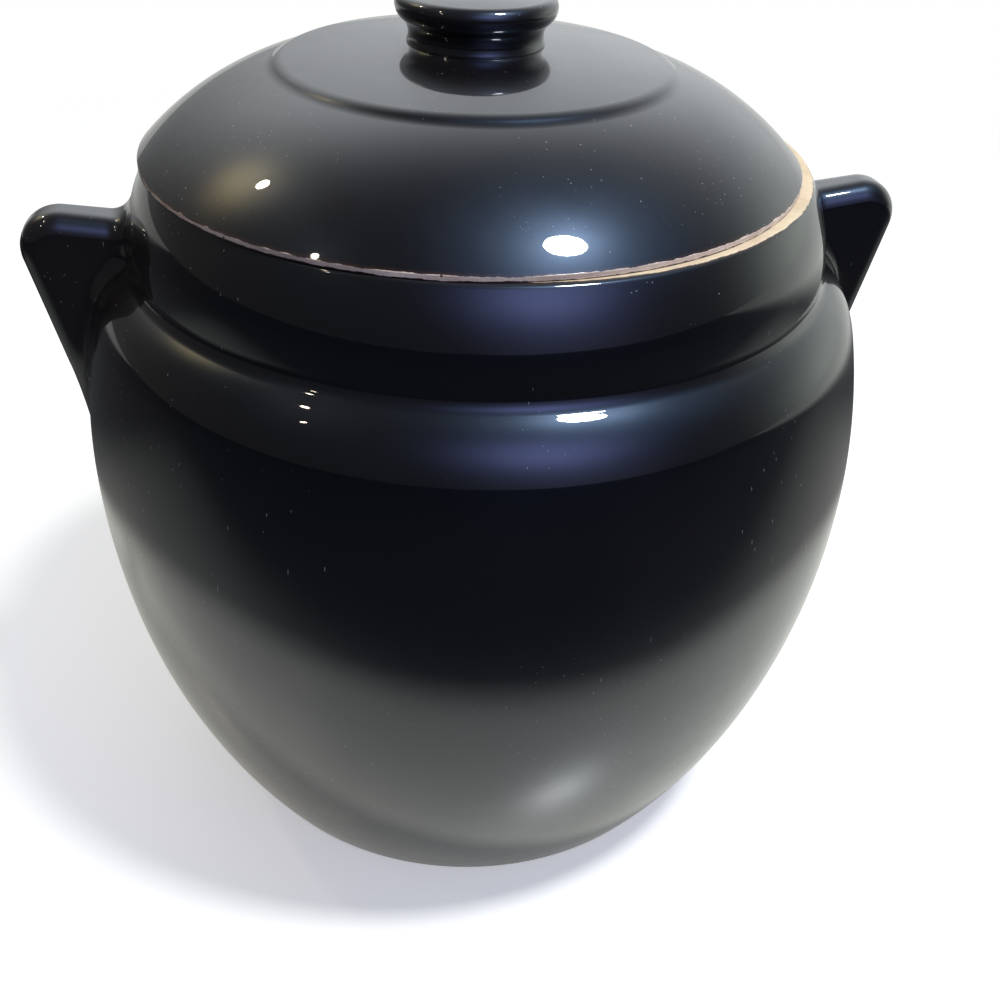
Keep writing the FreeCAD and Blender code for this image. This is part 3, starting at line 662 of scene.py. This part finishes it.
def ear_points(side, tip_height):
    """The surface of an ear along +X: a row for each place along its edge, from side to side.

    The rows' roots are spread evenly between the two rows whose inner ends first leave the crock.
    """
    stations = ear_stations(side, tip_height)
    insets = np.array([(inset.x, half_thickness(inset.x), inset.y) for inset, _ in stations])
    clear = np.flatnonzero(side_distance(insets, side) > 0)
    first, last = clear[0], clear[-1]
    heights = insets[:, 2].copy()
    heights[first : last + 1] = np.linspace(heights[first], heights[last], last + 1 - first)
    radii = np.interp(heights, side[:, 1], side[:, 0])
    rows = [
        ear_row(inset, outward, flat(radius, height), side)
        for (inset, outward), radius, height in zip(stations, radii, heights)
    ]
    return settle(np.array(rows), side, tip_height)


def ear_row(inset, outward, root, side):
    """One row: in along a side face, round both edges and back along the other side face."""
    span = inset - root
    along = np.linspace(FLANK_LINE_START, 1, FLANK_LINE_POINTS)[:, None]
    line = np.array([root.x, 0, root.y]) + along * np.array([span.x, 0, span.y])
    line[:, 1] = half_thickness(line[:, 0])
    reach = max(side_distance(line[-1:], side)[0], LEAST_REACH)
    near = np.minimum(root_distances(1), reach)
    far = np.linspace(min(EAR_ROOT_ROUND, reach), reach, FLANK_STEPS)[1:]
    row = [tuple(point) for point in at_distances(line, side, np.concatenate([near, far]))]
    for turn in np.linspace(0, math.pi / 2, EDGE_STEPS + 1)[1:]:
        place = inset + outward * (EAR_EDGE_ROUND * math.sin(turn))
        inward = EAR_EDGE_ROUND * (1 - math.cos(turn))
        row.append((place.x, half_thickness(inset.x) - inward, place.y))
    x, y, z = row[-1]
    across = [(x, share * y, z) for share in (0.5, 0, -0.5)]
    return row + across + [(x, -y, z) for x, y, z in reversed(row)]


def half_thickness(x):
    """Half of the ear's thickness at that distance from the axis."""
    return EAR_THICKNESS / 2 + (EAR_REACH - x) * math.tan(EAR_DRAFT)


# ---- materials ----


class Nodes:
    """Short calls for building the node tree of a material or world."""

    def __init__(self, owner, coordinates="Object"):
        owner.use_nodes = True
        self.tree = owner.node_tree
        self.shader = self.tree.nodes.get("Principled BSDF")
        self.place = self.add("ShaderNodeTexCoord").outputs[coordinates]

    def add(self, kind, **settings):
        node = self.tree.nodes.new(kind)
        for name, value in settings.items():
            setattr(node, name, value)
        return node

    def link(self, value, socket):
        """Gives a value or another node's output to a socket, or to the shader's socket of that name."""
        if isinstance(socket, str):
            socket = self.shader.inputs[socket]
        if isinstance(value, bpy.types.NodeSocket):
            self.tree.links.new(value, socket)
        else:
            socket.default_value = value

    def added(self, kind, inputs, output=0, **settings):
        """The output of a new node whose inputs, by name or number, get those values."""
        node = self.add(kind, **settings)
        for name, value in inputs.items():
            self.link(value, node.inputs[name])
        return node.outputs[output]

    def attribute(self, name):
        return self.add("ShaderNodeAttribute", attribute_name=name).outputs["Fac"]

    def noise(self, scale, detail=3.0, roughness=0.5):
        inputs = {"Scale": scale, "Detail": detail, "Roughness": roughness, "Vector": self.place}
        return self.added("ShaderNodeTexNoise", inputs, "Fac")

    def span(self, value, low, high, start=0.0, end=1.0):
        """From start to end as the value goes from low to high, and no further."""
        inputs = {"Value": value, "From Min": low, "From Max": high, "To Min": start, "To Max": end}
        return self.added("ShaderNodeMapRange", inputs, "Result", interpolation_type="SMOOTHSTEP")

    def math(self, operation, *values):
        return self.added("ShaderNodeMath", dict(enumerate(values)), operation=operation)

    def vector(self, operation, *values, output="Vector"):
        return self.added("ShaderNodeVectorMath", dict(enumerate(values)), output, operation=operation)

    # a Mix node's sockets share their names between kinds of data, so they go by number

    def mix(self, share, first, second):
        """One colour, or another for a share of 1."""
        return self.added("ShaderNodeMix", {0: share, 6: first, 7: second}, 2, data_type="RGBA")

    def fade(self, share, first, second):
        """One number, or another for a share of 1."""
        return self.added("ShaderNodeMix", {0: share, 2: first, 3: second}, data_type="FLOAT")

    def shader_mix(self, share, first, second):
        """One shader, or another for a share of 1."""
        return self.added("ShaderNodeMixShader", {0: share, 1: first, 2: second})

    def reach(self, width):
        """The distance from the origin, with distances along X made smaller by that width."""
        scaled = self.vector("DIVIDE", self.place, (width, 1, 1))
        return self.vector("LENGTH", scaled, output="Value")

    def bump(self, height, distance, before=None):
        inputs = {"Height": height, "Distance": distance}
        if before is not None:
            inputs["Normal"] = before
        return self.added("ShaderNodeBump", inputs, "Normal")

    def cells(self, vector, spacing, size, kept):
        """1 round the middles of a share of the cells, and 0 elsewhere: their spacing and the spots' size."""
        node = self.add("ShaderNodeTexVoronoi")
        node.inputs["Scale"].default_value = 1 / spacing
        self.link(vector, node.inputs["Vector"])
        spot = self.math("LESS_THAN", node.outputs["Distance"], size / spacing)
        chosen = self.math("LESS_THAN", node.outputs["Color"], kept)
        return self.math("MULTIPLY", spot, chosen)

    def pits(self, spacing, size, kept):
        """1 in round pits of that size, 0 elsewhere."""
        return self.cells(self.place, spacing, size, kept)

    def scratches(self, turn, length, thickness=0.0001, spacing=0.0012, kept=0.36):
        """1 along fine straight scratches, and 0 elsewhere."""
        inputs = {"Vector": self.place, "Rotation": turn, "Scale": (1, 1, thickness / length)}
        return self.cells(self.added("ShaderNodeMapping", inputs), spacing, thickness, kept)


def stoneware_material(name, pale_clay, dark_clay):
    """A thick, almost black glaze, and bare fired clay where the mesh says so.

    The glaze is brown where it is thin, at its edge. It has a hard, clear gloss over a bluish haze,
    with a few pinholes, specks and hairline scratches. The clay is pale cream to pink, with dark specks.
    """
    material = bpy.data.materials.new(name)
    nodes = Nodes(material)
    frayed = nodes.noise(scale=260.0, detail=4.0, roughness=0.6)
    ragged = nodes.math("MULTIPLY_ADD", frayed, RAGGEDNESS, -RAGGEDNESS / 2)
    inside = nodes.math("ADD", nodes.attribute(BARE), ragged)
    bare = nodes.span(inside, low=-0.04, high=0.04)
    thin = nodes.span(inside, low=-0.9, high=0.0)

    patches = nodes.span(nodes.noise(scale=9.0, detail=4.0, roughness=0.55), low=0.42, high=0.68)
    glaze = nodes.mix(thin, nodes.mix(patches, DEEP_GLAZE, BROWN_GLAZE), THIN_GLAZE)
    upright = nodes.scratches(turn=(0.15, 0.1, 0), length=0.0011)
    slanting = nodes.scratches(turn=(0.9, 0.6, 0.3), length=0.0008)
    scratched_places = nodes.span(nodes.noise(scale=21.0), low=0.50, high=0.56)
    scratches = nodes.math("MULTIPLY", nodes.math("MAXIMUM", upright, slanting), scratched_places)
    scuffed_places = nodes.span(nodes.noise(scale=17.0, detail=4.0), low=0.56, high=0.60)
    scuffs = nodes.math("MULTIPLY", nodes.pits(spacing=0.0017, size=0.00015, kept=0.34), scuffed_places)
    specks = nodes.pits(spacing=0.011, size=0.00022, kept=0.22)
    worn = nodes.math("MAXIMUM", specks, nodes.math("MAXIMUM", scratches, scuffs))
    worn_glaze = nodes.mix(worn, glaze, WORN_GLAZE)

    stained = nodes.span(nodes.noise(scale=75.0, detail=5.0, roughness=0.6), low=0.3, high=0.75)
    clay = nodes.mix(stained, pale_clay, dark_clay)
    gritty_clay = nodes.mix(nodes.pits(spacing=0.0024, size=0.00035, kept=0.22), clay, GRIT)

    holes = nodes.pits(spacing=0.023, size=0.00045, kept=0.26)
    waves = nodes.bump(nodes.noise(scale=34.0, detail=2.0, roughness=0.45), distance=0.00010)
    peel = nodes.bump(nodes.noise(scale=520.0, detail=2.0), distance=0.000003, before=waves)
    pitted = nodes.bump(nodes.math("SUBTRACT", 1.0, holes), distance=0.0003, before=peel)
    step = nodes.bump(nodes.math("SUBTRACT", 1.0, bare), distance=0.00022, before=pitted)
    clay_grain = nodes.math("MULTIPLY", nodes.noise(scale=1300.0, detail=4.0, roughness=0.7), bare)
    relief = nodes.bump(clay_grain, distance=0.0002, before=step)

    hazy = nodes.noise(scale=30.0, detail=5.0, roughness=0.6)
    haze = nodes.span(hazy, low=0.2, high=0.8, start=0.27, end=0.40)
    gloss = nodes.math("MULTIPLY_ADD", worn, -WORN_LOSS, 1.0)
    for socket, value in (
        ("Base Color", nodes.mix(bare, worn_glaze, gritty_clay)),
        ("Roughness", nodes.fade(bare, haze, CLAY_ROUGHNESS)),
        ("Coat Weight", nodes.fade(bare, gloss, 0.0)),
        ("Normal", relief),
        ("Coat Normal", relief),
        ("IOR", GLAZE_IOR),
        ("Specular IOR Level", HAZE_SPECULAR),
        ("Specular Tint", HAZE_TINT),
        ("Coat Roughness", COAT_ROUGHNESS),
        ("Coat IOR", COAT_IOR),
    ):
        nodes.link(value, socket)
    return material


# ---- the pieces ----


def middle_of(node):
    """The middle of a node's box, seen from above, in millimetres."""
    low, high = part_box(node)
    return (low[0] + high[0]) / 2 / MM, (low[1] + high[1]) / 2 / MM


def make_crock(material):
    """The crock, bare on its rim, past it by a band that differs round the pot, and on its standing ring."""
    section, below = crock_section()
    turns = even_turns()
    lip = flat(MOUTH_RADIUS, RIM_HEIGHT - LIP_ROUND)
    rim_edge = max(section.points, key=lambda point: (point.y, point.x))
    apart = np.abs((turns - BAND_TURN + math.pi) % math.tau - math.pi)
    facing = np.clip(1 - apart / BAND_REACH, 0, 1)
    band = BAND_LEAST + (BAND_MOST - BAND_LEAST) * np.sqrt(facing)
    rim_bare = bare_between(section.points, rim_edge, lip, more=band)
    ring_edge = below.points[-1]
    ring_bare = bare_between(below.points, ring_edge - flat(FOOT_RING_WIDTH, 0), ring_edge)
    grids = [
        (wobble(turned(section.points, turns)), rim_bare, True),
        (wobble(turned(below.points, turns)), ring_bare, True),
    ]
    crock = make_mesh("turned_crock", grids, material)
    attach(crock, "pot")
    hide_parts("crock_body")


def make_ears(material):
    side = np.array([tuple(point) for point in crock_side()[0].points])
    for name, node, sense, height in (
        ("left_ear", "ear_handle_left", -1, LEFT_EAR_HEIGHT),
        ("right_ear", "ear_handle_right", 1, RIGHT_EAR_HEIGHT),
    ):
        placed = wobble(ear_points(side, height) * [sense, sense, 1])
        ear = make_mesh(name, [(placed, ALL_GLAZED, False)], material)
        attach(ear, "pot")
        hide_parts(node)


def make_on_lid(name, points, bare, node, base, material):
    """A turned piece of the lid, standing at that height over the middle of its own node."""
    x, y = middle_of(node)
    piece = make_mesh(name, [(points + [x, y, base], bare, True)], material)
    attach(piece, "lid")
    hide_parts(node)


def make_lid(material):
    """The lid, bare from its upper edge to the low end of its flange but for a painted shadow line of glaze
    at its lower corner.
    """
    section = lid_section()
    turns = even_turns()
    upper_edge = flat(LID_RADIUS, LID_EDGE)
    lower_edge = flat(LID_RADIUS, 0)
    flange_end = flat(FLANGE_OUTSIDE, FLANGE_EDGE_ROUND - FLANGE_DEPTH)
    band = LID_BAND + np.cos(turns - LID_BAND_TURN) * LID_BAND_CHANGE
    bare = bare_between(section.points, upper_edge, flange_end, more=band)
    # a dark line of glaze along the lower corner: painted shadow of the gap under the lid's edge
    from_corner = np.abs(lengths_along(section.points) - length_at(section.points, lower_edge))
    bare = np.minimum(bare, from_corner[:, None] - LID_SHADOW_LINE)
    make_on_lid("domed_lid", wobble(turned(section.points, turns)), bare, "lid_dome", RIM_HEIGHT, material)
    knob = turned(knob_section().points, turns)
    make_on_lid("button_knob", knob, ALL_GLAZED, "lid_knob", RIM_HEIGHT + KNOB_SEAT_HEIGHT, material)


# ---- floor, light and camera ----


def make_floor():
    """A pale floor, which turns white in the distance. The glaze mirrors it dimmer, and dark far away."""
    bpy.ops.mesh.primitive_circle_add(vertices=FLOOR_CORNERS, radius=FLOOR_RADIUS, fill_type="NGON")
    floor = bpy.context.object
    floor.name = "floor"
    material = bpy.data.materials.new("pale_floor")
    nodes = Nodes(material)
    ray = nodes.add("ShaderNodeLightPath").outputs
    camera = ray["Is Camera Ray"]
    mirrored = nodes.math("MAXIMUM", ray["Is Glossy Ray"], ray["Is Transmission Ray"])

    tone = nodes.span(nodes.noise(scale=3.0, detail=2.0), low=0.3, high=0.7)
    nodes.link(nodes.mix(mirrored, nodes.mix(tone, *PALE_FLOOR), MIRRORED_FLOOR), "Base Color")
    nodes.link(nodes.fade(mirrored, FLOOR_ROUGHNESS, MIRRORED_ROUGHNESS), "Roughness")
    glow = {
        "Color": nodes.mix(mirrored, WHITE, MIRRORED_FLOOR),
        "Strength": nodes.math("MULTIPLY", nodes.math("MAXIMUM", camera, mirrored), FLOOR_GLOW),
    }
    lit = nodes.shader.outputs["BSDF"]
    near = nodes.added("ShaderNodeAddShader", {0: lit, 1: nodes.added("ShaderNodeEmission", glow)})

    past_table = nodes.span(nodes.reach(TABLE_WIDTH), *TABLE_REACH)
    dimness = nodes.fade(nodes.span(nodes.reach(SIDES_WIDTH), *SIDES_REACH), SIDES_DIMNESS, 1.0)
    toward_back = nodes.vector("DOT_PRODUCT", nodes.place, BEHIND, output="Value")
    ahead = nodes.span(toward_back, *BEHIND_REACH, start=1.0, end=0.0)
    unseen = nodes.math("MULTIPLY", ahead, nodes.math("SUBTRACT", 1.0, camera))
    dim = nodes.math("MULTIPLY", nodes.math("MULTIPLY", past_table, dimness), unseen)
    dark = nodes.added("ShaderNodeBsdfDiffuse", {"Color": DIM_FLOOR})
    whole = nodes.shader_mix(dim, near, dark)

    distant = nodes.math("MULTIPLY", nodes.span(nodes.reach(1.0), *HORIZON), camera)
    white = nodes.added("ShaderNodeEmission", {"Color": WHITE})
    surface = nodes.tree.nodes["Material Output"].inputs["Surface"]
    nodes.link(nodes.shader_mix(distant, whole, white), surface)
    floor.data.materials.append(material)


def toward_sky(heading, height):
    """The unit direction at that heading, in degrees to the right of the front, and that height."""
    heading, height = math.radians(heading), math.radians(height)
    level = math.cos(height)
    return Vector((math.sin(heading) * level, -math.cos(heading) * level, math.sin(height)))


def lamp(name, heading, height, distance, width, depth, power, colour):
    """An oval lamp in that direction from the pot, its width level; sizes in metres, power in watts."""
    direction = toward_sky(heading, height)
    data = bpy.data.lights.new(name, "AREA")
    data.shape = "ELLIPSE"
    data.size = width
    data.size_y = depth
    data.energy = power
    data.color = colour
    item = bpy.data.objects.new(name, data)
    bpy.context.scene.collection.objects.link(item)
    across = (Vector((1, 0, 0)) - direction * direction.x).normalized()
    turn = Matrix((across, direction.cross(across), direction)).transposed().to_4x4()
    item.matrix_world = Matrix.Translation(Vector(LAMPS_AIM) + direction * distance) @ turn


def make_lights():
    lamp("key", heading=46, height=64.3, distance=1.0, width=0.17, depth=0.13, power=8.0, colour=COOL_LAMP)
    lamp("left_lamp", heading=-76, height=51, distance=1.2, width=0.04, depth=0.04, power=0.35,
         colour=WARM_LAMP)
    lamp("far_left_lamp", heading=-122, height=46, distance=1.2, width=0.07, depth=0.05, power=0.8,
         colour=PALE_WARM_LAMP)
    lamp("low_left_lamp", heading=-64, height=38, distance=1.2, width=0.04, depth=0.02, power=0.15,
         colour=WARM_LAMP)


def make_world():
    """White for the camera and through glass, and a dim room with soft glows for everything else."""
    world = bpy.data.worlds.new("room")
    bpy.context.scene.world = world
    nodes = Nodes(world, "Generated")
    room = (ROOM_DIMNESS,) * 3
    for glow in ROOM_GLOWS:
        aim = toward_sky(glow.heading, glow.height)
        facing = nodes.math("MAXIMUM", nodes.vector("DOT_PRODUCT", nodes.place, aim, output="Value"), 0.0)
        share = nodes.math("POWER", facing, glow.narrowness)
        light = [glow.strength * part for part in glow.colour]
        room = nodes.vector("MULTIPLY_ADD", share, light, room)
    ray = nodes.add("ShaderNodeLightPath").outputs
    seen = nodes.math("MAXIMUM", ray["Is Camera Ray"], ray["Is Transmission Ray"])
    nodes.link(nodes.mix(seen, room, WHITE), nodes.tree.nodes["Background"].inputs["Color"])


def make_camera():
    data = bpy.data.cameras.new("camera")
    data.lens = CAMERA_LENS
    data.sensor_width = CAMERA_FILM
    camera = bpy.data.objects.new("camera", data)
    bpy.context.scene.collection.objects.link(camera)
    heading = Matrix.Rotation(CAMERA_HEADING, 4, "Z")
    pitch = Matrix.Rotation(math.pi / 2 - CAMERA_PITCH, 4, "X")
    roll = Matrix.Rotation(CAMERA_ROLL, 4, "Z")
    camera.matrix_world = Matrix.Translation(CAMERA_PLACE) @ heading @ pitch @ roll
    bpy.context.scene.camera = camera


def main():
    crock_stoneware = stoneware_material("crock_stoneware", *CROCK_CLAY)
    lid_stoneware = stoneware_material("lid_stoneware", *LID_CLAY)
    make_crock(crock_stoneware)
    make_ears(crock_stoneware)
    make_lid(lid_stoneware)
    make_floor()
    make_lights()
    make_world()
    make_camera()
    bpy.context.scene.view_settings.view_transform = "Standard"


main()
